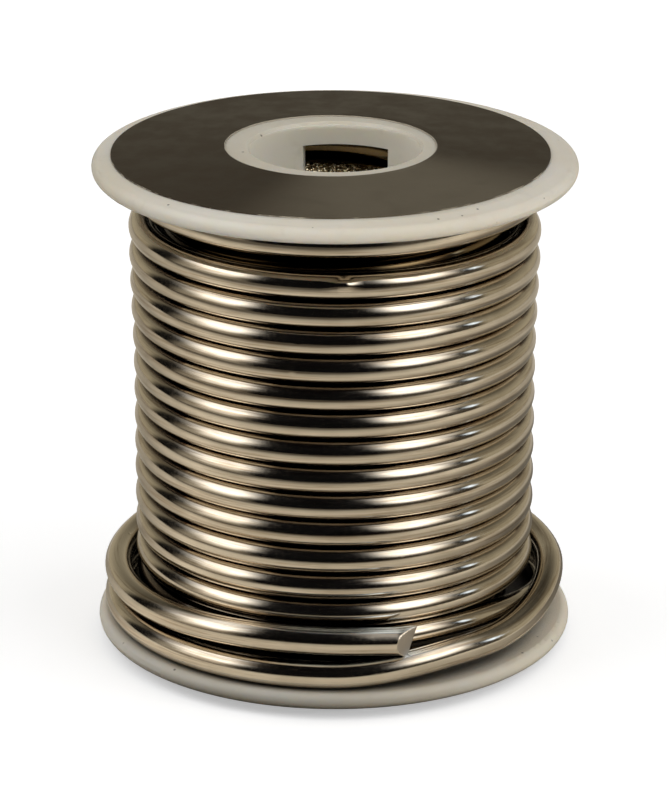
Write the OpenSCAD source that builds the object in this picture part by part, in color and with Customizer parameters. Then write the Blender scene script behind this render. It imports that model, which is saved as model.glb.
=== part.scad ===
// Spool of thick solder wire, one pound, standing on its lower flange.
// Units are millimetres. Z runs up the bore, with zero under the lower hub.
// Azimuth 0 is the front (-Y) and grows anticlockwise seen from above, so 90 is +X.

/* [Spool body] */
// Diameter of both flanges
flange_d = 54; // [53:0.5:60]
// Height over the two hubs
spool_h = 57.3; // [48:0.1:64]
// Diameter of the bore for a spindle
bore_d = 19.05; // [15:0.05:19.6]
// Diameter of the barrel that the wire is wound on
barrel_d = 22.4; // [21.8:0.1:23]
// Thickness of the rounded flange rim
rim_t = 1.85; // [1.4:0.05:2.4]
// Height of the hub's flat land over the rim
hub_rise = 1.0; // [0.4:0.1:1.6]
// Width of the flat land round the bore
land_w = 2.7; // [1.5:0.1:4]
// Width of the sloping roll-off just inside the rim
roll_w = 1.1; // [0.5:0.1:2]
// Height that the roll-off loses
roll_drop = 0.28; // [0.1:0.02:0.4]
// Break on the edges of the bore
bore_chamfer = 0.3; // [0.1:0.1:0.8]

/* [Barrel joint] */
// Length of the spigot that joins the two halves
spigot_h = 4; // [2:0.5:8]
// Radial clearance between spigot and socket
spigot_clearance = 0.05; // [0.02:0.01:0.15]
// Gap left over the end of the spigot
spigot_end_gap = 0.15; // [0.05:0.05:0.5]

/* [Wire-start windows] */
// Width of the window through each half of the barrel
window_w = 9.7; // [5:0.1:11]
// Height of that window
window_h = 7; // [4:0.5:12]
// Depth of the window's edge below the hub's face
window_depth = 2.6; // [2:0.1:6]
// Azimuth of the upper window; the lower half is turned over, front to back
window_azimuth = 172; // [0:1:360]

/* [Label] */
// Outer diameter of the paper ring
label_d = 48.7; // [44:0.1:50]
// Diameter of its hole
label_hole_d = 23.5; // [21:0.1:28]
// How far the ring was stuck off centre, towards -X
label_shift = 0.5; // [0:0.1:0.8]
// Thickness of the paper and its glue
label_t = 0.15; // [0.1:0.05:0.4]

/* [Solder wire] */
// Diameter of the wire, across the corners of its six-sided section
wire_d = 3.175; // [2.8:0.025:3.2]
// Rise of the winding in one turn
turn_pitch = 3.175; // [3.175:0.025:3.6]
// Layers under the outer one
inner_layers = 3; // [2:1:3]
// Play between one layer and the next
layer_play = 0.01; // [0:0.01:0.1]
// Share of each turn's rise that happens at an even rate, the rest being behind
even_share = 0.28; // [0.1:0.02:1]
// Where the layer below meets the flange, in turns before the first drop
climb_end = 1.19; // [1.15:0.01:1.24]
// Drop from the upper flange to the first outer turn, at the left
outer_start = 5.9; // [5:0.1:8]
// Bulge of the first outer turn, which rides high
first_turn_bulge = 0.39; // [0.2:0.01:0.6]
// Air between the wound turns and the core under them
core_gap = 0.5; // [0.3:0.05:1]
// Play between the core and the barrel
core_fit = 0.05; // [0.02:0.01:0.2]
// Air between wires that cross
crossing_gap = 0.45; // [0.4:0.05:1]
// Bulge behind, where the wire crosses the place it stepped out at
crossing_bulge = 0.74; // [0.6:0.02:1.2]

/* [Loose turns at the foot] */
// Air between the loose turns and the winding
loose_play = 0.45; // [0.4:0.02:0.6]
// Air between the two loose turns
loose_lift = 0.3; // [0.2:0.05:0.8]
// Extra height of the upper loose turn behind
back_lift = 0.8; // [0.2:0.1:1.5]
// Extra height of the upper loose turn in front
front_lift = 0.6; // [0:0.1:1]
// Azimuth of the wire's cut end, past the front
tail_azimuth = 19.5; // [0:0.5:40]
// Length of the wedge that the cutters left
tail_wedge = 1.7; // [0.8:0.1:3]
// Thickness of that wedge's edge
tail_edge = 0.3; // [0.2:0.05:0.8]
// Length of the core's stub that the outer wire grows out of
stub_l = 6; // [3:0.5:10]

/* [Hidden] */

plastic = [0.90, 0.89, 0.86];
label_brown = [0.19, 0.16, 0.14];
solder = [0.66, 0.61, 0.54];
round_fn = 96;
cut = 0.01;                                  // overrun of a cutter past the face it opens

// Spool: each half is drawn with the joint plane at zero and its flange on top.
flange_r = flange_d / 2;
bore_r = bore_d / 2;
barrel_r = barrel_d / 2;
half_h = spool_h / 2;
land_r = bore_r + land_w;
rim_c = flange_r - rim_t / 2;                // radius of the centre of the rim's round edge
roll_r = rim_c - roll_w;
web_t = hub_rise + rim_t;                    // from the hub's face to the flange's inner face
inner_top = spool_h - web_t;
inner_bottom = web_t;
spigot_r = (bore_r + barrel_r) / 2;

// Winding: centre radii of the layers, and heights of the wire's centre.
wire_r = wire_d / 2;
flat_r = wire_r * cos(30);                   // from the wire's centre to its upper and lower flats
layer_rise = turn_pitch * sin(60) + layer_play;
outer_r = barrel_r + wire_r + inner_layers * layer_rise;
under_r = outer_r - layer_rise;
first_r = outer_r + first_turn_bulge;
crossing_r = under_r + wire_d + crossing_gap;
loose_r = outer_r + wire_d + loose_play;
top_z = inner_top - wire_r;
first_z = inner_top - outer_start;
floor_z = inner_bottom + wire_r;
stacked_z = floor_z + wire_d + loose_lift;
outer_turns = floor((first_z - floor_z) / turn_pitch) + 1;

// The route is measured in turns, with zero behind, where the wire drops onto the outer layer.
rings_per_turn = 24;
sides = 6;
route_start = -2 + 1 / rings_per_turn;
step_half = 0.18;                            // half the length of the step behind, in turns
tail_arc = (wire_d + tail_wedge) * 180 / (PI * loose_r);
route_end = outer_turns + 1.5 + (tail_azimuth - tail_arc) / 360;

function ease(from, to, at) =
    let (t = max(0, min(1, (at - from) / (to - from)))) t * t * (3 - 2 * t);

// Turns fallen along the outer layer: a slow even fall and a quick step behind.
function fallen(turn) =
    let (n = floor(turn + 0.5), step = n - 1 + ease(-step_half, step_half, turn - n))
    even_share * turn + (1 - even_share) * step;

// The layer below climbs evenly until it meets the flange.
function under_z(turn) = top_z - turn_pitch * max(0, -climb_end - turn);

// Up to the flange and round once against it, then down the outer layer.
function wound_z(turn) =
    let (z = first_z - turn_pitch * (fallen(turn) - fallen(0.25)))
    under_z(turn) + (z - top_z) * ease(-0.34, -0.12, turn);

// Heights of the loose turns, with the turn counted from the winding's end.
function loose_z(turn) =
    floor_z
    + (stacked_z - floor_z) * (0.32 * ease(0.5, 0.6, turn) + 0.68 * ease(0.62, 0.76, turn))
    + back_lift * (ease(0.76, 0.95, turn) - ease(1.05, 1.22, turn))
    + front_lift * ease(1.3, 1.5, turn);

function route_z(turn) =
    let (foot = ease(outer_turns - 0.42, outer_turns - 0.2, turn))
    (1 - foot) * wound_z(turn) + foot * loose_z(turn - outer_turns);

function route_r(turn) =
    under_r
    + (outer_r - under_r) * ease(-1.3, -0.85, turn)
    + (crossing_r - outer_r) * ease(-0.85, -0.34, turn)
    + crossing_bulge * (ease(-0.32, -0.1, turn) - ease(0, 0.14, turn))
    + (first_r - crossing_r) * ease(0.04, 0.25, turn)
    + (outer_r - first_r) * ease(0.3, 6, turn)
    + (loose_r - outer_r) * ease(outer_turns - 0.22, outer_turns + 0.12, turn);

function radial(turn) = [sin(180 + 360 * turn), -cos(180 + 360 * turn), 0];
function route(turn) = route_r(turn) * radial(turn) + [0, 0, route_z(turn)];
function unit(v) = v / norm(v);
function tangent(turn) = unit(route(turn + 0.001) - route(turn - 0.001));

// One ring of the wire's section: corners point in and out, flats lie up and down.
// ahead moves it straight on, and thin flattens it between inside and outside.
function ring(turn, ahead = 0, thin = 1) =
    let (t = tangent(turn), out = unit(radial(turn) - (radial(turn) * t) * t), up = cross(t, out))
    [for (i = [0 : sides - 1])
        route(turn) + ahead * t
        + wire_r * (thin * cos(i * 360 / sides) * out + sin(i * 360 / sides) * up)];

// Whole steps along the route, then its last point.
route_turns = [
    for (i = [0 : floor((route_end - route_start) * rings_per_turn - 0.2)])
        route_start + i / rings_per_turn,
    route_end
];

wire_rings = concat(
    [ring(route_start, ahead = -wire_d)],
    [for (turn = route_turns) ring(turn)],
    [ring(route_end, ahead = wire_d), ring(route_end, wire_d + tail_wedge, tail_edge / wire_d)]
);

// Least distance between two rings, taken on the corners and on points along the flats.
function flat_points(corners) = [
    for (i = [0 : sides - 1], part = [0 : 0.25 : 0.75])
        (1 - part) * corners[i] + part * corners[(i + 1) % sides]
];
function ring_gap(a, b) = min([for (p = flat_points(a), q = flat_points(b)) norm(p - q)]);
function wire_gap() =
    let (last = len(route_turns) - 1, places = [for (turn = route_turns) route(turn)])
    min([
        for (i = [0 : last])
            for (j = [i + rings_per_turn / 2 : 1 : last])
                if (norm(places[i] - places[j]) < 1.5 * wire_d)
                    ring_gap(ring(route_turns[i]), ring(route_turns[j]))
    ]);

// Flange, hub and half the barrel, turned in one piece with a full round on the rim.
module turned_half() {
    rotate_extrude($fn = round_fn)
    polygon([
        [bore_r, 0],
        [bore_r, half_h - bore_chamfer],
        [bore_r + bore_chamfer, half_h],
        [land_r, half_h],
        [roll_r, half_h - hub_rise + roll_drop],
        [rim_c, half_h - hub_rise],
        [rim_c, half_h - web_t],
        [barrel_r, half_h - web_t],
        [barrel_r, 0]
    ]);
    rotate_extrude($fn = round_fn)
    translate([rim_c, half_h - hub_rise - rim_t / 2])
        circle(d = rim_t, $fn = round_fn);
}

// Window through the barrel wall only, just under the flange. It is cut at azimuth 0.
module window_cut() {
    intersection() {
        translate([-window_w / 2, -barrel_r - cut, half_h - window_depth - window_h])
            cube([window_w, barrel_r, window_h]);
        cylinder(r = barrel_r + cut, h = half_h, $fn = round_fn);
    }
}

module half_body() {
    difference() {
        turned_half();
        rotate([0, 0, window_azimuth]) window_cut();
    }
}

module upper_spool_half() {
    color(plastic)
    translate([0, 0, half_h])
    difference() {
        half_body();
        translate([0, 0, -cut])
            cylinder(
                r = spigot_r + spigot_clearance,
                h = spigot_h + spigot_end_gap + cut,
                $fn = round_fn
            );
    }
}

module lower_spool_half() {
    color(plastic)
    translate([0, 0, half_h]) {
        rotate([180, 0, 0]) half_body();
        difference() {
            translate([0, 0, -cut])
                cylinder(r = spigot_r, h = spigot_h + cut, $fn = round_fn);
            translate([0, 0, -2 * cut])
                cylinder(r = bore_r, h = spigot_h + 3 * cut, $fn = round_fn);
        }
    }
}

// The paper follows the flange's land and cone, wherever it was stuck.
module label_shell() {
    rotate_extrude($fn = round_fn)
    polygon([
        [bore_r, spool_h],
        [land_r, spool_h],
        [roll_r, spool_h - hub_rise + roll_drop],
        [roll_r, spool_h - hub_rise + roll_drop + label_t],
        [land_r, spool_h + label_t],
        [bore_r, spool_h + label_t]
    ]);
}

module top_label() {
    color(label_brown)
    intersection() {
        label_shell();
        translate([-label_shift, 0, inner_top])
        difference() {
            cylinder(d = label_d, h = spool_h, $fn = round_fn);
            translate([0, 0, -cut])
                cylinder(d = label_hole_d, h = spool_h + 2 * cut, $fn = round_fn);
        }
    }
}

// Inner layers as one plain core, recessed at the top for the turn that shows there.
core_bore_r = barrel_r + core_fit;
core_r = outer_r - wire_r - core_gap;
neck_r = under_r - wire_r - core_gap;
shelf_z = under_z(route_start) - flat_r - core_gap;
stub_r = under_r + wire_r;
stub_top = under_z(route_start);

module inner_winding() {
    color(solder) {
        rotate_extrude($fn = round_fn)
        polygon([
            [core_bore_r, inner_bottom],
            [core_r, inner_bottom],
            [core_r, shelf_z],
            [neck_r, shelf_z],
            [neck_r, inner_top],
            [core_bore_r, inner_top]
        ]);
        // Stub with a flat face, square to the wire that starts there.
        rotate([0, 0, 180 + 360 * route_start])
        intersection() {
            translate([-wire_d - stub_l, -stub_r, shelf_z - core_gap])
                cube([stub_l, stub_r, stub_top - shelf_z + core_gap]);
            difference() {
                cylinder(r = stub_r, h = inner_top, $fn = round_fn);
                cylinder(r = neck_r - core_gap, h = inner_top, $fn = round_fn);
            }
        }
    }
}

// One unbroken wire: two turns under the flange, the outer layer, and two loose turns.
module solder_wire() {
    last = len(wire_rings) - 1;
    echo(wire_turns = route_end - route_start, wire_least_gap = wire_gap());
    color(solder)
    polyhedron(
        points = [for (corners = wire_rings) each corners],
        faces = concat(
            [for (i = [1 : sides - 2]) [0, i + 1, i]],
            [for (k = [0 : last - 1], i = [0 : sides - 1])
                let (a = k * sides + i, b = k * sides + (i + 1) % sides)
                each [[a, b, b + sides], [a, b + sides, a + sides]]],
            [for (i = [1 : sides - 2]) [last * sides, last * sides + i, last * sides + i + 1]]
        )
    );
}

upper_spool_half();
lower_spool_half();
top_label();
inner_winding();
solder_wire();
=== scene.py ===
import math

import bpy
from mathutils import Matrix, Vector, noise


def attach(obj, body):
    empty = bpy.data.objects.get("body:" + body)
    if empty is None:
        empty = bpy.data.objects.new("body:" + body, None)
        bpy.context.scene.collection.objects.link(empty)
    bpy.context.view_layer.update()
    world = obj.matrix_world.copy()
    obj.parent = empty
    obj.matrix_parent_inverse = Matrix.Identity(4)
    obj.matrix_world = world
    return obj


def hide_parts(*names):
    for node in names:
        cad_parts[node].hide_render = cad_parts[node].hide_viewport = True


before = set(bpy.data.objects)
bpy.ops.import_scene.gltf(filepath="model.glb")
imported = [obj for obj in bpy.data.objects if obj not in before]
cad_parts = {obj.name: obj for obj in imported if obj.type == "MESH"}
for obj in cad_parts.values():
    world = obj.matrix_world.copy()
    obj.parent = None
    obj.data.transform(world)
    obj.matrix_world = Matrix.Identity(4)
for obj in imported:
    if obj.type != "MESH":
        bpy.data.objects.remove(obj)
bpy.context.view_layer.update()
mm = 0.001

# The spool stands on its lower flange with its bore upright, as the frame has it. Lengths
# are in metres, but for the wire's, and angles are in degrees unless a note says otherwise.
print("frame loaded:", ", ".join(sorted(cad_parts)))


def ease(start, end, at):
    t = max(0.0, min(1.0, (at - start) / (end - start)))
    return t * t * (3 - 2 * t)


def bearing(azimuth, elevation=0.0):
    # unit vector, azimuth 0 in front (-Y) and 90 at the right (+X), degrees
    a = math.radians(azimuth)
    e = math.radians(elevation)
    return Vector((math.sin(a) * math.cos(e), -math.cos(a) * math.cos(e), math.sin(e)))


def newMaterial(name):
    material = bpy.data.materials.new(name)
    material.use_nodes = True
    tree = material.node_tree
    return material, tree, tree.nodes["Principled BSDF"]


def addNode(tree, kind, sockets=None, **settings):
    # settings are the node's own options, sockets its inputs, linked or set
    made = tree.nodes.new("ShaderNode" + kind)
    for key, value in settings.items():
        setattr(made, key, value)
    for key, value in (sockets or {}).items():
        if isinstance(value, bpy.types.NodeSocket):
            tree.links.new(value, made.inputs[key])
        else:
            made.inputs[key].default_value = value
    return made


def maths(tree, operation, first, second=0.0):
    return addNode(tree, "Math", {0: first, 1: second}, operation=operation).outputs[0]


def total(tree, first, second):
    return maths(tree, "ADD", first, second)


def product(tree, first, second):
    return maths(tree, "MULTIPLY", first, second)


def vectorMaths(tree, operation, first, second=(0, 0, 0)):
    made = addNode(tree, "VectorMath", {0: first, 1: second}, operation=operation)
    return made.outputs["Value" if operation in ("DOT_PRODUCT", "DISTANCE") else "Vector"]


def blend(tree, share, first, second, how="MIX"):
    # colours are triples or sockets
    sockets = {0: share}
    for key, shade in ((6, first), (7, second)):
        sockets[key] = (*shade, 1) if isinstance(shade, tuple) else shade
    return addNode(tree, "Mix", sockets, data_type="RGBA", blend_type=how).outputs[2]


def grey(tree, value):
    return addNode(tree, "CombineColor", {0: value, 1: value, 2: value}).outputs[0]


def between(tree, value, low, high, start=0.0, end=1.0):
    # smooth step from start to end as the value goes from low to high
    sockets = {"Value": value, 1: low, 2: high, 3: start, 4: end}
    return addNode(tree, "MapRange", sockets, interpolation_type="SMOOTHSTEP").outputs[0]


def cloud(tree, where, scale, detail=2.0, rough=0.5):
    sockets = {"Vector": where, "Scale": scale, "Detail": detail, "Roughness": rough}
    return addNode(tree, "TexNoise", sockets).outputs["Fac"]


def dots(tree, where, scale, edge, drawn):
    # scattered dots; drawn says which draws of a cell give it one
    cells = addNode(tree, "TexVoronoi", {"Vector": where, "Scale": scale})
    draw = addNode(tree, "SeparateColor", {0: cells.outputs["Color"]}).outputs[0]
    dot = between(tree, cells.outputs["Distance"], *edge, 1, 0)
    return product(tree, dot, between(tree, draw, *drawn))


def bump(tree, height, depth, under=None):
    # depth in metres between the lowest and the highest point
    sockets = {"Height": height, "Distance": depth, "Strength": 1.0}
    if under is not None:
        sockets["Normal"] = under
    return addNode(tree, "Bump", sockets).outputs[0]


def dent(tree, share, depth, under):
    return bump(tree, product(tree, share, -1.0), depth, under)


def upwardness(tree):
    # 1 on top, 0 on a wall, -1 underneath
    normal = addNode(tree, "NewGeometry").outputs["Normal"]
    return addNode(tree, "SeparateXYZ", {0: normal}).outputs["Z"]


def openness(tree, reach):
    # 1 on a free surface, near 0 deep in a crevice
    return addNode(tree, "AmbientOcclusion", {"Distance": reach}, samples=6).outputs["AO"]


def axisDistance(tree, where, axis=(0, 0, 0)):
    return vectorMaths(tree, "DISTANCE", vectorMaths(tree, "MULTIPLY", where, (1, 1, 0)), axis)


def facingShare(tree, where, azimuth, halfWidth, soft):
    # 1 on the side of the spool that faces an azimuth, 0 elsewhere
    level = vectorMaths(tree, "MULTIPLY", where, (1, 1, 0))
    towards = vectorMaths(tree, "DOT_PRODUCT", vectorMaths(tree, "NORMALIZE", level), bearing(azimuth))
    edges = [math.cos(math.radians(halfWidth + side)) for side in (soft, -soft)]
    return between(tree, towards, *edges)


def finishShader(tree, shader, colour, rough, normal, settings):
    tree.links.new(colour, shader.inputs["Base Color"])
    tree.links.new(rough, shader.inputs["Roughness"])
    tree.links.new(normal, shader.inputs["Normal"])
    for title, value in settings.items():
        shader.inputs[title].default_value = value


cameraSetup = {
    "aim": Vector((0, 0, 27.36)) * mm,
    "distance": 458.5 * mm,
    "elevation": 20.27,                      # degrees above the horizon
    "lens": 182.2,                           # on a 36 mm long side
    "roll": 0.0027,                          # radians
}


def makeCamera():
    data = bpy.data.cameras.new("camera")
    data.lens = cameraSetup["lens"]
    data.sensor_width = 36
    data.clip_start = 0.01
    data.clip_end = 20
    camera = bpy.data.objects.new("camera", data)
    back = bearing(0, cameraSetup["elevation"])
    turn = (-back).to_track_quat("-Z", "Y").to_matrix().to_4x4()
    spin = Matrix.Rotation(cameraSetup["roll"], 4, "Z")
    place = Matrix.Translation(cameraSetup["aim"] + back * cameraSetup["distance"])
    camera.matrix_world = place @ turn @ spin
    bpy.context.scene.collection.objects.link(camera)
    bpy.context.scene.camera = camera


makeCamera()
print("camera placed")


def heightRange(node):
    # lowest and highest point of a solid, in millimetres
    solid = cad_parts[node]
    heights = [(solid.matrix_world @ vertex.co).z / mm for vertex in solid.data.vertices]
    return min(heights), max(heights)


# the inner faces of the two flanges, between which the core fits
floorInside, flangeInside = heightRange("inner_winding")

# One wire, in millimetres. Its route is measured in turns: zero is behind, where the wire
# drops onto the outer layer, and a turn runs anticlockwise seen from above.
wire = {
    "diameter": 3.175,
    "pitch": 3.175,
    "evenShare": 0.28,                       # share of the fall that is spread round the turn
    "stepHalf": 0.18,                        # half the turns that the rest of it takes, behind
    "barrelRadius": 11.2,
    "layerPlay": 0.01,
    "layerStep": 0.25,                       # turns between one layer and the next
    "outerStart": 5.9,                       # drop from the flange to the first outer turn
    "startAt": 0.25,                         # the turn where that is measured, at the left
    "firstTurnBulge": 0.39,
    "climbEnd": -1.19,                       # where the layer below meets the flange
    "crossingGap": 0.01,
    "crossingBulge": 0.74,
    "loosePlay": 0.45,
    "looseLift": 0.3,
    "looseTurns": 1.5,                       # from the last outer turn to the front
    "earlyRise": 0.32,                       # share of the climb onto the first loose turn
    "backLift": 0.8,
    "frontLift": 0.7,
    "tailAzimuth": 19.5,
    "tailReach": 1.7,                        # how much of the wedge lies before that
    "tailWedge": 1.9,                        # length of the wedge that the cutters left
    "tailEdge": 0.26,
    "tailSlant": 0.3,                        # how far the pinched edge leans over
    "tailSpread": 0.15,                      # how much taller the pinched edge is
    "tailDrop": 0.352,                       # how far the loose end sags
    "tailSag": 0.11,                         # turns over which it does
    "thinner": 0.035,                        # taken off the radius, so that touching turns part
    # waves that the winding machine left: number in a turn, size, place in the noise
    "waves": ((5.1, 0.022, (0.5, 2.5)), (14.0, 0.0088, (7.5, 1.5))),
    # how far each outer turn came to rest from its even place, in front
    "settle": (-0.05, -0.14, -0.11, -0.11, -0.17, -0.2, -0.18, -0.17, -0.1, -0.03, -0.02),
    # turn, degrees up round the wire, radius and height
    "beads": ((0.507, 20, 0.9, 0.32), (2.473, 20, 0.3, -0.05), (3.468, 8, 0.35, 0.06)),
    "beadStretch": 1.6,                      # how much longer than wide they are
    "beadReach": 0.02,                       # turns within which a ring of points can be on one
}

# the turns over which the wire goes from one thing to the next
stretch = {
    "stepOut": (-1.3, -0.85),                # from the third layer to the fourth
    "widen": (-0.85, -0.34),                 # to the radius of the crossing
    "dropIn": (-0.34, -0.12),                # down from the flange
    "bulgeOut": (-0.32, -0.1),               # over the place where it stepped out
    "bulgeIn": (0, 0.14),
    "narrow": (0.04, 0.25),                  # to the radius of the first outer turn
    "even": (0.3, 6),                        # to the radius of the others
    "settling": (0.3, 0.7),                  # from one front to the next
    # in turns after the last outer one
    "footDown": (-0.42, -0.2),
    "footOut": (-0.37, -0.2),
    "stackStart": (0.5, 0.6),                # onto the first loose turn
    "stackEnd": (0.62, 0.76),
    "backUp": (0.76, 0.95),
    "backDown": (1.05, 1.22),
    "frontUp": (1.3, 1.5),
}

# how many rings of points there are, and how many points in one
fineness = {
    "outerTurn": 150,
    "outerSides": 36,
    "innerTurn": 80,
    "innerSides": 16,
    "beadSide": 8,                           # extra rings to either side of a bead's middle
    "beadStep": 0.0006,                      # turns between them
    "tailRun": 6,
    "tailWedge": 20,
}

wireRadius = wire["diameter"] / 2
layerRise = wire["pitch"] * math.sin(math.radians(60)) + wire["layerPlay"]
layerRadii = [wire["barrelRadius"] + wireRadius + n * layerRise for n in range(4)]
underRadius, outerRadius = layerRadii[2:]
firstRadius = outerRadius + wire["firstTurnBulge"]
crossingRadius = underRadius + wire["diameter"] + wire["crossingGap"]
looseRadius = outerRadius + wire["diameter"] + wire["loosePlay"]
topHeight = flangeInside - wireRadius
firstHeight = flangeInside - wire["outerStart"]
floorHeight = floorInside + wireRadius
stackedHeight = floorHeight + wire["diameter"] + wire["looseLift"]
layerTurns = (topHeight - floorHeight) / wire["pitch"]
outerTurns = math.floor((firstHeight - floorHeight) / wire["pitch"]) + 1
routeStart = -2 + 1 / 24                     # where the inner layers pass it on
tailArc = math.degrees((wire["diameter"] + wire["tailReach"]) / looseRadius)
routeEnd = outerTurns + wire["looseTurns"] + (wire["tailAzimuth"] - tailArc) / 360
innerStart = wire["climbEnd"] - 3 * layerTurns - 2 * wire["layerStep"]


def fallen(turn):
    # turns fallen so far: a slow even fall and a quick step behind
    whole = math.floor(turn + 0.5)
    step = whole - 1 + ease(-wire["stepHalf"], wire["stepHalf"], turn - whole)
    return wire["evenShare"] * turn + (1 - wire["evenShare"]) * step


def settled(turn):
    # each turn's own rest, blended from front to front
    place = turn - 0.5
    first = math.floor(place)
    rests = [wire["settle"][n] if 0 <= n < len(wire["settle"]) else 0.0 for n in (first, first + 1)]
    return rests[0] + (rests[1] - rests[0]) * ease(*stretch["settling"], place - first)


def underHeight(turn):
    # the layer below climbs evenly until it meets the flange
    return topHeight - wire["pitch"] * max(0.0, wire["climbEnd"] - turn)


def woundHeight(turn):
    wound = firstHeight - wire["pitch"] * (fallen(turn) - fallen(wire["startAt"]))
    return underHeight(turn) + (wound - topHeight) * ease(*stretch["dropIn"], turn) + settled(turn)


def looseHeight(turn):
    # turns are counted from the foot of the coil
    early = wire["earlyRise"]
    stack = early * ease(*stretch["stackStart"], turn) + (1 - early) * ease(*stretch["stackEnd"], turn)
    behind = wire["backLift"] * (ease(*stretch["backUp"], turn) - ease(*stretch["backDown"], turn))
    front = wire["frontLift"] * ease(*stretch["frontUp"], turn)
    sagging = max(0.0, 1 + (turn + outerTurns - routeEnd) / wire["tailSag"])
    sag = wire["tailDrop"] * sagging ** 2
    return floorHeight + (stackedHeight - floorHeight) * stack + behind + front - sag


def looseShare(turn):
    # 0 in the coil, 1 in the loose turns
    return ease(*stretch["footDown"], turn - outerTurns)


def outerRoute(turn):
    foot = looseShare(turn)
    height = (1 - foot) * woundHeight(turn) + foot * looseHeight(turn - outerTurns)
    radius = (
        underRadius
        + (outerRadius - underRadius) * ease(*stretch["stepOut"], turn)
        + (crossingRadius - outerRadius) * ease(*stretch["widen"], turn)
        + wire["crossingBulge"] * (ease(*stretch["bulgeOut"], turn) - ease(*stretch["bulgeIn"], turn))
        + (firstRadius - crossingRadius) * ease(*stretch["narrow"], turn)
        + (outerRadius - firstRadius) * ease(*stretch["even"], turn)
        + (looseRadius - outerRadius) * ease(*stretch["footOut"], turn - outerTurns)
    )
    for number, size, place in wire["waves"]:
        radius += size * noise.noise(Vector((turn * number, *place)))
    return bearing(180 + 360 * turn) * radius + Vector((0, 0, height))


def innerRoute(turn):
    # the turns before the outer wire: three even layers, up, down and up again
    level = wire["climbEnd"] - turn          # turns back from the top of the third layer
    layer = 2
    while layer > 0 and level > layerTurns + wire["layerStep"]:
        level -= layerTurns + wire["layerStep"]
        layer -= 1
    fall = min(level, layerTurns) * wire["pitch"]
    height = floorHeight + fall if layer == 1 else topHeight - fall
    radius = layerRadii[layer]
    if layer:
        radius -= layerRise * ease(layerTurns, layerTurns + wire["layerStep"], level)
    return bearing(180 + 360 * turn) * radius + Vector((0, 0, height))


def pinchedPoint(x, y, left):
    # the cutters flatten the section to this half thickness, and it spreads and leans
    pinch = ease(wireRadius - wire["thinner"], 0, left)
    lean = wire["tailSlant"] * y * pinch
    return max(-left, min(left, x)), y * (1 + wire["tailSpread"] * pinch), lean


def beadSwell(angle, turn, bead, radius):
    # how much further out a point of the section is on a bead of metal, as a share
    place, side, size, height = bead
    lap = 133                                # length of an outer turn, about
    off = math.radians((angle - side + 180) % 360 - 180)
    gap = math.hypot((turn - place) * lap / wire["beadStretch"], off * radius) / size
    return height * max(0.0, 1 - gap * gap) ** 2 / radius


def wireSection(route, station, sides, beads):
    # the tube's centre at a station and the ring of points there, each with its place in
    # the section and 1 where the cutters flattened it
    turn, ahead, left = station
    radius = wireRadius - wire["thinner"]
    nudge = 0.001                            # of a turn
    along = (route(turn + nudge) - route(turn - nudge)).normalized()
    outward = bearing(180 + 360 * turn)
    outward = (outward - outward.dot(along) * along).normalized()
    up = outward.cross(along)
    centre = route(turn) + along * ahead
    ring = []
    for i in range(sides):
        angle = 360 * i / sides
        x = radius * math.cos(math.radians(angle))
        y = radius * math.sin(math.radians(angle))
        lean = 0.0
        flat = 0.0
        if left is not None:
            flat = 1.0 if abs(x) > left else 0.0
            x, y, lean = pinchedPoint(x, y, left)
        for bead in beads:
            swell = 1 + beadSwell(angle, turn, bead, radius)
            x *= swell
            y *= swell
        ring.append((centre + outward * x + up * y + along * lean, x, y, flat))
    return centre, ring


def tubeFaces(rows, sides):
    faces = []
    for k in range(rows - 1):
        for i in range(sides):
            a = k * sides + i
            b = k * sides + (i + 1) % sides
            faces.append((a, b, b + sides, a + sides))
    faces.append(tuple(range(sides - 1, -1, -1)))
    faces.append(tuple((rows - 1) * sides + i for i in range(sides)))
    return faces


def tubeMesh(name, route, stations, sides, marks, material):
    # each station is a turn, a straight run ahead of it and the half thickness left there;
    # the marks are the beads of metal on it
    verts = []
    grain = []
    pinched = []
    loose = []
    walked = 0.0
    last = None
    for station in stations:
        turn = station[0]
        beads = [bead for bead in marks if abs(bead[0] - turn) < wire["beadReach"]]
        centre, ring = wireSection(route, station, sides, beads)
        walked += (centre - last).length if last else 0.0
        last = centre
        for point, x, y, flat in ring:
            verts.append(point * mm)
            grain.append((x * mm, y * mm, walked * mm))
            pinched.append(flat)
            loose.append(looseShare(turn))
    faces = tubeFaces(len(stations), sides)
    mesh = bpy.data.meshes.new(name)
    mesh.from_pydata(verts, [], faces)
    mesh.materials.append(material)
    mesh.polygons.foreach_set("use_smooth", [True] * (len(faces) - 2) + [False, False])
    layer = mesh.attributes.new("grain", "FLOAT_VECTOR", "POINT")
    layer.data.foreach_set("vector", [value for row in grain for value in row])
    for title, values in (("pinched", pinched), ("loose", loose)):
        layer = mesh.attributes.new(title, "FLOAT", "POINT")
        layer.data.foreach_set("value", values)
    mesh.update()
    tube = bpy.data.objects.new(name, mesh)
    bpy.context.scene.collection.objects.link(tube)
    return tube


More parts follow.
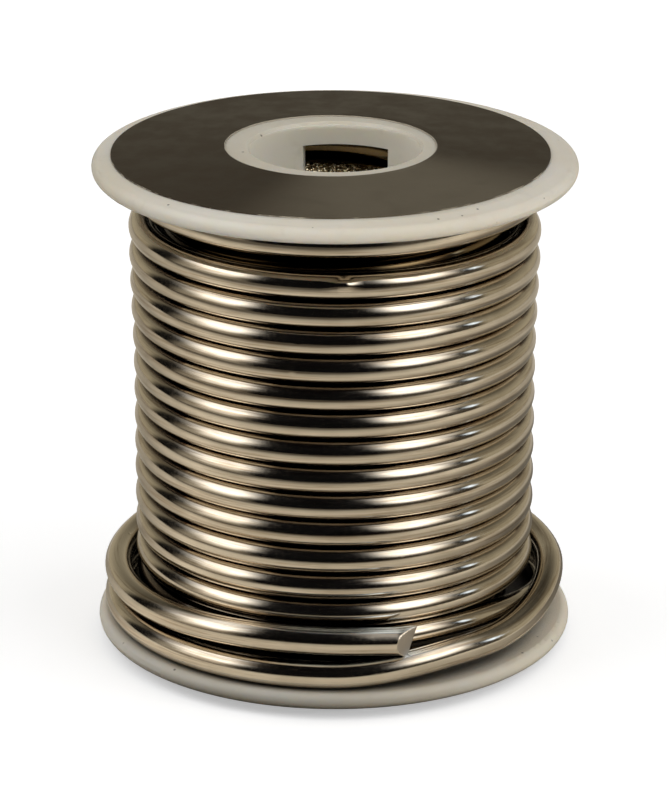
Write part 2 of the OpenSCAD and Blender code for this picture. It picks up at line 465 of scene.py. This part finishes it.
# A pattern is its scale in waves per metre, detail and roughness. A range is from and to,
# and where it has four numbers, the last two are the shares there.
solderFinish = {
    "bright": (0.74, 0.665, 0.555),
    "dull": (0.62, 0.55, 0.445),
    "streak": (0.36, 0.27, 0.18),
    "creviceShade": (0.16, 0.075, 0.035),            # painted shade, brown, at the edge of the crevices
    # painted shade, black, deep in the crevices
    "deepCreviceShade": (0.004, 0.002, 0.001),
    "cut": (0.51, 0.46, 0.40),               # where the cutters sheared it
    "shaded": (0.34, 0.27, 0.17),            # painted shade over all of the inner layers
    # painted glints on the scratches in the window
    "paintedGlints": (0.95, 0.88, 0.66),
    "roughness": (0.09, 0.16),
    "scuffRoughness": 0.12,
    "nickRoughness": 0.2,
    "cutRoughness": 0.3,
    "dieLines": (5200, 3.0, 0.6),            # marks that the drawing die left
    "dieStretch": (1, 1, 0.03),
    "dieDepth": 2.4e-6,
    "patches": (160, 3.0, 0.55),
    "tarnished": (0.42, 0.68, 0, 0.7),       # range in the patches
    "lineTarnish": 0.25,
    "streaks": (2300, 4.0, 0.75),
    "streaked": (0.45, 0.68, 0, 0.7),
    "pores": (2600, 2.0),
    "poreRange": (0.2, 0.8),
    "poreDepth": 7e-7,
    "scuffs": (1500, 4.0, 0.7),
    "scuffStretch": (1, 1, 0.12),
    "scuffed": (0.62, 0.72),
    "scuffedPatches": (0.5, 0.6),
    "scuffDepth": 2.5e-6,
    "nicks": (260, (0.03, 0.085), (0.8, 0.84)),      # scale, edge and draws
    "nickDepth": 2.2e-5,
    "torn": (3500, 4.0, 0.7),                # face of the cut
    "tornDepth": 6e-5,
    # openness is 1 on a free surface and near 0 in a crevice, within a short or a long reach
    "shortReach": 1.8 * mm,
    "longReach": 7 * mm,
    "topShade": 0.2,                       # taken off where the surface faces up, for more painted shade on top
    "creviceShadeEnd": (0.26, 0.44),                 # short openness where the brown painted shade ends
    "deepShadeEnd": ((0.16, 0.36), (0.16, 0.42)),        # and where the black painted shade ends, short and long
    "lessShadeShort": (-0.12, 0.32),             # added to openness where the painted shade stays and where it thins
    "lessShadeLong": 0.18,
    "highlightSide": ((-33, 13, 6), (42, 24, 10)),  # azimuth, half width, softness of the sides with less painted shade, where the highlights are
    "looseLessShade": (0.5, 1.0),                # less painted shade on the loose turns, least on top
    "skySheen": (0.70, 0.82, 0.95),           # painted cool reflection on top of them
    "skySheenSide": (5, 15, 9),                 # and where: azimuth, half width, softness
    "skyFacing": (0.78, 0.9),
    "grit": (3000, 1.0),
    "glintRange": (0.53, 0.57),
    "gritDepth": 2.2e-4,
    # height and radius of the scratched part in the upper window
    "chafedBelow": (52.7 * mm, 53 * mm),
    "chafedWithin": (12 * mm, 12.6 * mm),
}


def drawnColour(tree, drawn, lines, patches):
    # tarnish in soft patches, with a little of it in the die lines, and streaks
    tarnish = between(tree, patches, *solderFinish["tarnished"])
    tarnish = total(tree, tarnish, product(tree, lines, solderFinish["lineTarnish"]))
    colour = blend(tree, tarnish, solderFinish["bright"], solderFinish["dull"])
    streaks = cloud(tree, drawn, *solderFinish["streaks"])
    streaks = between(tree, streaks, *solderFinish["streaked"])
    return blend(tree, streaks, colour, solderFinish["streak"])


def creviceShadeColour(tree, place, colour):
    # crevices get painted shade, brown and then black, less of it on the sides where the highlights
    # are and on the loose turns, which also get a painted cool reflection on top in front
    upward = upwardness(tree)
    loose = addNode(tree, "Attribute", attribute_name="loose").outputs["Fac"]
    skyward = product(tree, loose, between(tree, upward, *solderFinish["skyFacing"]))
    coolSheen = product(tree, skyward, facingShare(tree, place, *solderFinish["skySheenSide"]))
    colour = blend(tree, coolSheen, colour, solderFinish["skySheen"])
    lessShade = product(tree, loose, between(tree, coolSheen, 0, 1, *solderFinish["looseLessShade"]))
    for highlightSide in solderFinish["highlightSide"]:
        lessShade = maths(tree, "MAXIMUM", lessShade, facingShare(tree, place, *highlightSide))
    short = openness(tree, solderFinish["shortReach"])
    short = maths(tree, "SUBTRACT", short, product(tree, upward, solderFinish["topShade"]))
    short = total(tree, short, between(tree, lessShade, 0, 1, *solderFinish["lessShadeShort"]))
    long = openness(tree, solderFinish["longReach"])
    long = total(tree, long, product(tree, lessShade, solderFinish["lessShadeLong"]))
    colour = blend(tree, between(tree, short, *solderFinish["creviceShadeEnd"]), solderFinish["creviceShade"], colour)
    shortEnd, longEnd = solderFinish["deepShadeEnd"]
    exposed = product(tree, between(tree, short, *shortEnd), between(tree, long, *longEnd))
    return blend(tree, exposed, solderFinish["deepCreviceShade"], colour)


def shadedAndChafed(tree, place, colour, normal):
    # painted shade over all of the inner layers, and in the window scratches with painted glints
    height = addNode(tree, "SeparateXYZ", {0: place}).outputs["Z"]
    below = between(tree, height, *solderFinish["chafedBelow"], 1, 0)
    within = between(tree, axisDistance(tree, place), *solderFinish["chafedWithin"], 1, 0)
    share = product(tree, below, within)
    grit = cloud(tree, place, *solderFinish["grit"])
    paintedGlints = product(tree, between(tree, grit, *solderFinish["glintRange"]), share)
    normal = bump(tree, product(tree, grit, share), solderFinish["gritDepth"], normal)
    colour = blend(tree, 1.0, colour, solderFinish["shaded"], "MULTIPLY")
    return blend(tree, paintedGlints, colour, solderFinish["paintedGlints"]), normal


def solderMaterial(name, inner):
    material, tree, shader = newMaterial(name)
    grain = addNode(tree, "Attribute", attribute_name="grain").outputs["Vector"]
    cut = addNode(tree, "Attribute", attribute_name="pinched").outputs["Fac"]
    place = addNode(tree, "TexCoord").outputs["Object"]
    drawn = vectorMaths(tree, "MULTIPLY", grain, solderFinish["dieStretch"])
    lines = cloud(tree, drawn, *solderFinish["dieLines"])
    patches = cloud(tree, place, *solderFinish["patches"])
    pores = cloud(tree, place, *solderFinish["pores"])
    colour = creviceShadeColour(tree, place, drawnColour(tree, drawn, lines, patches))
    colour = blend(tree, cut, colour, solderFinish["cut"])
    # small nicks from handling, and scuffs that follow the wire
    nicks = dots(tree, grain, *solderFinish["nicks"])
    stretched = vectorMaths(tree, "MULTIPLY", grain, solderFinish["scuffStretch"])
    scuffs = cloud(tree, stretched, *solderFinish["scuffs"])
    scuffs = between(tree, scuffs, *solderFinish["scuffed"])
    scuffs = product(tree, scuffs, between(tree, patches, *solderFinish["scuffedPatches"]))
    rough = between(tree, pores, *solderFinish["poreRange"], *solderFinish["roughness"])
    rough = total(tree, rough, product(tree, scuffs, solderFinish["scuffRoughness"]))
    rough = total(tree, rough, product(tree, nicks, solderFinish["nickRoughness"]))
    rough = total(tree, rough, product(tree, cut, solderFinish["cutRoughness"]))
    normal = bump(tree, lines, solderFinish["dieDepth"])
    normal = bump(tree, pores, solderFinish["poreDepth"], normal)
    normal = dent(tree, scuffs, solderFinish["scuffDepth"], normal)
    normal = dent(tree, nicks, solderFinish["nickDepth"], normal)
    torn = product(tree, cloud(tree, place, *solderFinish["torn"]), cut)
    normal = bump(tree, torn, solderFinish["tornDepth"], normal)
    if inner:
        colour, normal = shadedAndChafed(tree, place, colour, normal)
    finishShader(tree, shader, colour, rough, normal, {"Metallic": 1})
    return material


# the shaded copy, for the inner layers, carries painted shade and painted glints
solderBright = solderMaterial("solder_bright", False)
solderShaded = solderMaterial("solder_shaded", True)
print("solder finish made")


def evenTurns(start, end, perTurn):
    steps = round((end - start) * perTurn)
    return [start + (end - start) * k / steps for k in range(steps + 1)]


def dressWire(coil, node):
    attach(coil, "root")
    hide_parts(node)


def makeOuterWire():
    turns = evenTurns(routeStart, routeEnd, fineness["outerTurn"])
    side = fineness["beadSide"]
    for bead in wire["beads"]:
        turns += [bead[0] + k * fineness["beadStep"] for k in range(-side, side + 1)]
    stations = [(turn, 0.0, None) for turn in sorted(turns)]
    # the end runs on straight for a diameter, and then the wedge begins
    run = fineness["tailRun"]
    stations += [(routeEnd, wire["diameter"] * k / run, None) for k in range(1, run + 1)]
    for k in range(1, fineness["tailWedge"] + 1):
        share = k / fineness["tailWedge"]
        left = wireRadius + (wire["tailEdge"] / 2 - wireRadius) * share
        stations.append((routeEnd, wire["diameter"] + wire["tailWedge"] * share, left))
    sides = fineness["outerSides"]
    coil = tubeMesh("outer_wire", outerRoute, stations, sides, wire["beads"], solderBright)
    dressWire(coil, "solder_wire")
    print("outer wire laid,", round(routeEnd - routeStart, 1), "turns")


def makeInnerWire():
    stations = [(turn, 0.0, None) for turn in evenTurns(innerStart, routeStart, fineness["innerTurn"])]
    sides = fineness["innerSides"]
    coil = tubeMesh("inner_wire", innerRoute, stations, sides, (), solderShaded)
    dressWire(coil, "inner_winding")
    print("inner layers laid,", round(routeStart - innerStart, 1), "turns")


makeOuterWire()
makeInnerWire()


plasticFinish = {
    "base": (0.79, 0.745, 0.655),
    "aged": (0.75, 0.685, 0.56),             # yellower where it has aged
    "boreLight": (0.90, 0.86, 0.76),         # painted light, paler in the bore
    "agedWaves": (0.35, 0.7),                # range in the waves of the moulding
    "dustAndShade": (0.34, 0.29, 0.21),
    "corners": (0.3, 0.95, 0.4, 0),          # painted shade by openness
    "dusted": (0.56, 0.78, 0, 0.1),          # dust by the grain
    "wallFacing": (0.2, 0.6),                # how far up or down a wall can still face
    "hubShade": (0.84, 0.83, 0.80),           # painted shade, greyer on the hub's face
    "boreRadius": (11.6 * mm, 12.2 * mm),    # where the bore's tone ends
    "hubRadius": (12.4 * mm, 13 * mm),
    "hollowShade": (0.006, 0.004, 0.002),         # painted shade, nearly black, deep inside
    "hollowReach": 12 * mm,
    "hollowShadeRange": (0.08, 0.3, 0.97, 0),
    "speck": (0.09, 0.07, 0.045),
    "specks": (520, (0.05, 0.1), (0.62, 0.64, 0, 0.85)),
    "roughness": (0.36, 0.48),
    "roughGrain": (0.3, 0.7),
    "waves": (55, 3.0, 0.6),                 # unevenness of the moulding
    "waveDepth": 4e-5,
    "grain": (420, 3.0, 0.6),
    "grainDepth": 5e-6,
    "fine": (2400, 2.0),
    "fineDepth": 1.5e-6,
    "edge": 0.14 * mm,                       # softening of the moulded edges
    "milky": {
        "Subsurface Weight": 0.35,
        "Subsurface Radius": (1.2, 0.9, 0.6),
        "Subsurface Scale": 0.0015,
        "Specular IOR Level": 0.4,
    },
}


def agedColourAndBoreLight(tree, place, waves):
    # the moulding's own colour with painted light in the bore, and the share of it that is the hub's
    # face
    aged = between(tree, waves, *plasticFinish["agedWaves"])
    colour = blend(tree, aged, plasticFinish["base"], plasticFinish["aged"])
    radius = axisDistance(tree, place)
    tilt = maths(tree, "ABSOLUTE", upwardness(tree))
    wall = between(tree, tilt, *plasticFinish["wallFacing"], 1, 0)
    bore = product(tree, wall, between(tree, radius, *plasticFinish["boreRadius"], 1, 0))
    face = maths(tree, "SUBTRACT", 1.0, wall)
    hub = product(tree, face, between(tree, radius, *plasticFinish["hubRadius"], 1, 0))
    return blend(tree, bore, colour, plasticFinish["boreLight"]), hub


def plasticMaterial(name, reach):
    # reach is how far out of a corner the painted shade comes
    material, tree, shader = newMaterial(name)
    place = addNode(tree, "TexCoord").outputs["Object"]
    waves = cloud(tree, place, *plasticFinish["waves"])
    grain = cloud(tree, place, *plasticFinish["grain"])
    fine = cloud(tree, place, *plasticFinish["fine"])
    colour, hub = agedColourAndBoreLight(tree, place, waves)
    # painted shade in corners, and dust by the grain, darken towards the same colour
    corner = between(tree, openness(tree, reach), *plasticFinish["corners"])
    dust = between(tree, grain, *plasticFinish["dusted"])
    colour = blend(tree, total(tree, corner, dust), colour, plasticFinish["dustAndShade"])
    # painted shade on the hub's face
    hubShaded = blend(tree, 1.0, colour, plasticFinish["hubShade"], "MULTIPLY")
    colour = blend(tree, hub, colour, hubShaded)
    # painted shade, nearly black, deep in the hollows
    hollowShading = openness(tree, plasticFinish["hollowReach"])
    hollowShading = between(tree, hollowShading, *plasticFinish["hollowShadeRange"])
    colour = blend(tree, hollowShading, colour, plasticFinish["hollowShade"])
    specks = dots(tree, place, *plasticFinish["specks"])
    colour = blend(tree, specks, colour, plasticFinish["speck"])
    rough = between(tree, grain, *plasticFinish["roughGrain"], *plasticFinish["roughness"])
    normal = bump(tree, waves, plasticFinish["waveDepth"])
    normal = bump(tree, grain, plasticFinish["grainDepth"], normal)
    normal = bump(tree, fine, plasticFinish["fineDepth"], normal)
    finishShader(tree, shader, colour, rough, normal, plasticFinish["milky"])
    return material


labelFinish = {
    "ink": (0.021, 0.0128, 0.006),
    "inkThin": (0.034, 0.022, 0.0115),
    "thinned": (0.3, 0.75),                  # range in the mottle
    "frontSheen": (0.118, 0.098, 0.066),          # painted sheen, paler towards the front right
    "frontSheenMottle": (0.2, 0.6, 0.7, 1),
    "highlightSide": (24, 34, 22),                  # azimuth, half width and softness of that place
    "paper": (0.50, 0.45, 0.36),             # pale core that shows where the edge is worn
    "paperShare": 0.75,
    "wornWidth": 0.04 * mm,
    "raggedWidth": 0.2 * mm,
    "raggedMiddle": 0.66,
    "roughness": (0.34, 0.46),
    "roughMottle": (0.3, 0.7),
    "wornRoughness": 0.3,
    "waves": (70, 2.0),
    "waveDepth": 3e-5,
    "mottle": (260, 3.0, 0.6),
    "mottleDepth": 4e-6,
    "fibres": (2600, 4.0, 0.65),
    "fibreDepth": 3e-6,
    "sheen": {"Specular IOR Level": 0.28},
    "centre": (-0.5 * mm, 0, 0),
    "outerRadius": 24.35 * mm,
    "innerRadius": 11.75 * mm,
}


def wornRim(tree, place, mottle):
    # both edges of the ring, ragged by the mottle
    ragged = maths(tree, "SUBTRACT", mottle, labelFinish["raggedMiddle"])
    ragged = product(tree, ragged, labelFinish["raggedWidth"])
    radius = total(tree, axisDistance(tree, place, labelFinish["centre"]), ragged)
    width = labelFinish["wornWidth"]
    outer = between(tree, radius, labelFinish["outerRadius"] - width, labelFinish["outerRadius"])
    inner = between(tree, radius, labelFinish["innerRadius"], labelFinish["innerRadius"] + width, 1, 0)
    return product(tree, maths(tree, "MAXIMUM", outer, inner), labelFinish["paperShare"])


def labelMaterial():
    material, tree, shader = newMaterial("label_paper_printed")
    place = addNode(tree, "TexCoord").outputs["Object"]
    fibres = cloud(tree, place, *labelFinish["fibres"])
    mottle = cloud(tree, place, *labelFinish["mottle"])
    waves = cloud(tree, place, *labelFinish["waves"])
    thinned = between(tree, mottle, *labelFinish["thinned"])
    colour = blend(tree, thinned, labelFinish["ink"], labelFinish["inkThin"])
    patchy = between(tree, mottle, *labelFinish["frontSheenMottle"])
    frontSheen = product(tree, facingShare(tree, place, *labelFinish["highlightSide"]), patchy)
    colour = blend(tree, frontSheen, colour, labelFinish["frontSheen"])
    rim = wornRim(tree, place, mottle)
    colour = blend(tree, rim, colour, labelFinish["paper"])
    rough = between(tree, mottle, *labelFinish["roughMottle"], *labelFinish["roughness"])
    rough = total(tree, rough, product(tree, rim, labelFinish["wornRoughness"]))
    normal = bump(tree, waves, labelFinish["waveDepth"])
    normal = bump(tree, mottle, labelFinish["mottleDepth"], normal)
    normal = bump(tree, fibres, labelFinish["fibreDepth"], normal)
    finishShader(tree, shader, colour, rough, normal, labelFinish["sheen"])
    return material


def dressNode(name, material, edge):
    # the part's own solid with softened edges and its finish
    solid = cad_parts[name]
    solid.material_slots[0].material = material
    if edge:
        soften = solid.modifiers.new("softened edges", "BEVEL")
        soften.width = edge
        soften.segments = 3
        soften.limit_method = "ANGLE"
        soften.angle_limit = math.radians(25)
        soften.harden_normals = False


upperPlastic = plasticMaterial("plastic_upper", 4 * mm)
lowerPlastic = plasticMaterial("plastic_lower", 2.5 * mm)
dressNode("upper_spool_half", upperPlastic, plasticFinish["edge"])
dressNode("lower_spool_half", lowerPlastic, plasticFinish["edge"])
dressNode("top_label", labelMaterial(), 0)
print("spool and label dressed")


# Lengths in metres and angles in degrees. A lamp or panel is placed by azimuth and elevation.
studio = {
    "boxDistance": 0.9,
    "leftBox": {
        "azimuth": -82.5,
        "elevation": 42.6,
        "halfWidth": 0.414,
        "halfHeight": 0.817,
        "tilt": 48.0,
        "soft": (0.73, 0.46, 0.50, 0.59),    # fade at the left, right, bottom and top
        "steep": 1.86,
        "radiance": 1.55,
    },
    "rightBox": {
        "azimuth": 61.1,
        "elevation": 49.9,
        "halfWidth": 0.436,
        "halfHeight": 0.875,
        "tilt": -35.0,
        "soft": (0.56, 0.64, 0.43, 0.74),
        "steep": 2.12,
        "radiance": 1.55,
    },
    "room": (0.004, 0.004, 0.0045),
    # what metal sees besides the boxes: azimuth, half width, from, to, softness, colour
    "seenPanels": [
        (163, 75, -38, 64, 6.3, (0.41, 0.37, 0.275)),
        (180, 80, 29.8, 70, 27, (0.022, 0.02, 0.016)),
        (-74, 20, -21, 47, 11, (0.38, 0.345, 0.28)),
        (-69, 13, 8, 40, 4, (0.78, 0.72, 0.63)),
        (54, 18, 16, 60, 8, (0.62, 0.57, 0.49)),
        (58, 27, -30, 16, 7, (0.075, 0.066, 0.053)),
        (88, 27, 63, 79, 7, (0.45, 0.41, 0.345)),
        (-133, 17, 57, 69, 6, (0.5, 0.45, 0.38)),
        (86.5, 2.2, 17, 29, 2.5, (1.5, 1.8, 2.2)),
        (0, 179, 78, 100, 5, (0.045, 0.055, 0.07)),
    ],
    # soft light on what isn't metal
    "skyTones": (0.03, 0.50),
    "skyFrom": (180, 50),
    "skySpread": (-0.3, 0.95),
    "fillSize": 0.5,
    "leftFill": (-115, 18, 1.2),             # azimuth, elevation, radiance
    "rightFill": (112, 18, 1.6),
    "rimSpot": (0, -4, 1.9, 14, (0, 0, 150)),        # azimuth, elevation, strength, cone, aim
    "footSpot": (72, 14, 0.8, 3.6, (24, -12, -14)),
    "floorHalfWidth": 2,
    "floorDepth": (-0.32, 2.5),              # front edge and back edge
    "floorShade": (1.0, 0.92, 0.77),
    "floorDark": (0.14, 0.125, 0.10),
    "floorFade": (-0.15, -0.005),            # painted shade: from dark far in front to the floor's shade near the spool
    "floorFadeTo": 157,
    # painted light and shade on the floor round the spool, azimuth and share, in what metal mirrors of
    # it
    "floorSeen": (
        (-90, 1.0), (-75, 1.38), (-30, 1.16), (0, 1.0), (70, 1.0), (105, 0.7), (140, 0.66),
        (180, 0.9), (235, 0.52), (265, 0.92),
    ),
    # and painted light and shade in the light that it gives back
    "floorBounce": (
        (-90, 0.6), (-45, 0.12), (0, 0.22), (25, 0.45), (50, 1.0), (90, 1.2), (140, 0.8),
        (180, 0.5), (240, 0.45),
    ),
    "floorShadow": (128, 0.05, 0.4, 0.025, 0.085),   # azimuth, distance, tone, from, to
    "cameraLift": (0.15, 0.6, 0.42, 1.0),    # from, to, and the glow there that the camera sees
}


def hangLamp(name, data, away, aim, axes, mirrored):
    lamp = bpy.data.objects.new(name, data)
    lamp.matrix_world = Matrix.Translation(aim + away * studio["boxDistance"]) @ axes.to_4x4()
    lamp.visible_camera = False
    lamp.visible_glossy = mirrored
    bpy.context.scene.collection.objects.link(lamp)


def fadedFace(tree, offset, axes, data, box):
    # glow of a lamp's face, less towards its four edges
    left, right, bottom, top = box["soft"]
    glow = box["steep"]
    for axis, half, near, far in ((0, data.size / 2, left, right), (1, data.size_y / 2, bottom, top)):
        along = vectorMaths(tree, "DOT_PRODUCT", offset, axes.col[axis])
        share = maths(tree, "DIVIDE", along, half)
        rise = between(tree, share, -1, 2 * near - 1)
        fall = between(tree, share, 1 - 2 * far, 1, 1, 0)
        glow = product(tree, glow, product(tree, rise, fall))
    return maths(tree, "MINIMUM", glow, 1.0)


def softbox(name, box):
    data = bpy.data.lights.new(name, "AREA")
    data.shape = "RECTANGLE"
    data.size = 2 * box["halfWidth"]
    data.size_y = 2 * box["halfHeight"]
    data.energy = box["radiance"] * math.pi * data.size * data.size_y
    away = bearing(box["azimuth"], box["elevation"])
    across = bearing(box["azimuth"] + 90)
    turned = Matrix.Rotation(math.radians(box["tilt"]), 3, "Z")
    axes = Matrix((across, away.cross(across), away)).transposed() @ turned
    centre = cameraSetup["aim"] + away * studio["boxDistance"]
    data.use_nodes = True
    tree = data.node_tree
    place = addNode(tree, "NewGeometry").outputs["Position"]
    offset = vectorMaths(tree, "SUBTRACT", place, centre)
    glow = fadedFace(tree, offset, axes, data, box)
    tree.links.new(glow, tree.nodes["Emission"].inputs["Strength"])
    hangLamp(name, data, away, cameraSetup["aim"], axes, True)


def fillLamp(name, azimuth, elevation, radiance):
    # soft light from the side that metal doesn't mirror
    data = bpy.data.lights.new(name, "AREA")
    data.shape = "DISK"
    data.size = studio["fillSize"]
    data.energy = radiance * math.pi * math.pi * (data.size / 2) ** 2
    away = bearing(azimuth, elevation)
    axes = (-away).to_track_quat("-Z", "Y").to_matrix()
    hangLamp(name, data, away, cameraSetup["aim"], axes, False)


def flangeSpot(name, azimuth, elevation, strength, cone, aim):
    # lights one flange's edge and little else
    data = bpy.data.lights.new(name, "SPOT")
    data.energy = strength * 4 * math.pi
    data.shadow_soft_size = 0.03
    data.spot_size = math.radians(cone)
    data.spot_blend = 0.25
    away = bearing(azimuth, elevation)
    axes = (-away).to_track_quat("-Z", "Y").to_matrix()
    hangLamp(name, data, away, Vector(aim) * mm, axes, False)


def panelShare(tree, direction, height, azimuth, halfWidth, low, high, soft):
    # 1 inside a soft-edged patch of the room, 0 outside
    flat = maths(tree, "SQRT", maths(tree, "SUBTRACT", 1.0, product(tree, height, height)))
    towards = vectorMaths(tree, "DOT_PRODUCT", direction, bearing(azimuth))
    level = maths(tree, "DIVIDE", towards, maths(tree, "MAXIMUM", flat, 0.001))
    edges = [math.cos(math.radians(min(179, max(1, halfWidth + side)))) for side in (soft, -soft)]
    bottom = [math.sin(math.radians(angle)) for angle in (low - soft, low + soft)]
    top = [math.sin(math.radians(angle)) for angle in (high - soft, high + soft)]
    tall = product(tree, between(tree, height, *bottom), between(tree, height, *top, 1, 0))
    return product(tree, between(tree, level, *edges), tall)


def makeWorld():
    world = bpy.data.worlds.new("studio_room")
    bpy.context.scene.world = world
    world.use_nodes = True
    world.cycles.sampling_method = "NONE"
    tree = world.node_tree
    rays = addNode(tree, "LightPath")
    direction = addNode(tree, "TexCoord").outputs["Generated"]
    height = addNode(tree, "SeparateXYZ", {0: direction}).outputs["Z"]
    seen = studio["room"]
    for azimuth, halfWidth, low, high, soft, shade in studio["seenPanels"]:
        share = panelShare(tree, direction, height, azimuth, halfWidth, low, high, soft)
        seen = blend(tree, share, seen, shade)
    facing = vectorMaths(tree, "DOT_PRODUCT", direction, bearing(*studio["skyFrom"]))
    sky = grey(tree, between(tree, facing, *studio["skySpread"], *studio["skyTones"]))
    indirect = blend(tree, rays.outputs["Is Glossy Ray"], sky, seen)
    whole = blend(tree, rays.outputs["Is Camera Ray"], indirect, (1, 1, 1))
    tree.links.new(whole, tree.nodes["Background"].inputs["Color"])


def roundTone(tree, where, stops):
    # a tone that changes with the azimuth; the gradient starts at -90
    turn = addNode(tree, "TexGradient", {"Vector": where}, gradient_type="RADIAL").outputs["Fac"]
    ramp = addNode(tree, "ValToRGB", {0: turn})
    elements = ramp.color_ramp.elements
    places = [((azimuth + 90) / 360, share) for azimuth, share in stops]
    places.append((1.0, stops[0][1]))
    while len(elements) < len(places):
        elements.new(1.0)
    for element, (at, share) in zip(elements, places):
        element.position = at
        element.color = (share, share, share, 1)
    return ramp.outputs["Color"]


def floorShade(tree, place, mirrored):
    # colour of the floor for every ray but the camera's, with painted light, shade and shadow
    depth = vectorMaths(tree, "DOT_PRODUCT", place, bearing(studio["floorFadeTo"]))
    near = between(tree, depth, *studio["floorFade"])
    shade = blend(tree, near, studio["floorDark"], studio["floorShade"])
    seen = roundTone(tree, place, studio["floorSeen"])
    bounce = roundTone(tree, place, studio["floorBounce"])
    shade = blend(tree, 1.0, shade, blend(tree, mirrored, bounce, seen), "MULTIPLY")
    azimuth, distance, dark, inner, outer = studio["floorShadow"]
    gap = vectorMaths(tree, "DISTANCE", place, bearing(azimuth) * distance)
    shadow = grey(tree, between(tree, gap, inner, outer, dark, 1))
    return blend(tree, 1.0, shade, shadow, "MULTIPLY")


def makeFloor():
    half = studio["floorHalfWidth"]
    front, back = studio["floorDepth"]
    corners = [(-half, front, 0), (half, front, 0), (half, back, 0), (-half, back, 0)]
    mesh = bpy.data.meshes.new("floor")
    mesh.from_pydata(corners, [], [(0, 1, 2, 3)])
    floor = bpy.data.objects.new("floor", mesh)
    bpy.context.scene.collection.objects.link(floor)
    material, tree, shader = newMaterial("floor_pale")
    tree.nodes.remove(shader)
    rays = addNode(tree, "LightPath")
    camera = rays.outputs["Is Camera Ray"]
    place = addNode(tree, "TexCoord").outputs["Object"]
    shade = blend(tree, camera, floorShade(tree, place, rays.outputs["Is Glossy Ray"]), (1, 1, 1))
    matt = addNode(tree, "BsdfDiffuse", {"Color": shade})
    away = vectorMaths(tree, "DISTANCE", place)
    glow = between(tree, away, *studio["cameraLift"])
    lift = addNode(tree, "Emission", {"Strength": product(tree, camera, glow)})
    both = addNode(tree, "AddShader", {0: matt.outputs[0], 1: lift.outputs[0]})
    tree.links.new(both.outputs[0], tree.nodes["Material Output"].inputs["Surface"])
    mesh.materials.append(material)


softbox("left_softbox", studio["leftBox"])
softbox("right_softbox", studio["rightBox"])
fillLamp("left_fill", *studio["leftFill"])
fillLamp("right_fill", *studio["rightFill"])
flangeSpot("rim_spot", *studio["rimSpot"])
flangeSpot("foot_spot", *studio["footSpot"])
makeWorld()
makeFloor()
bpy.context.scene.view_settings.view_transform = "Standard"
print("studio made")
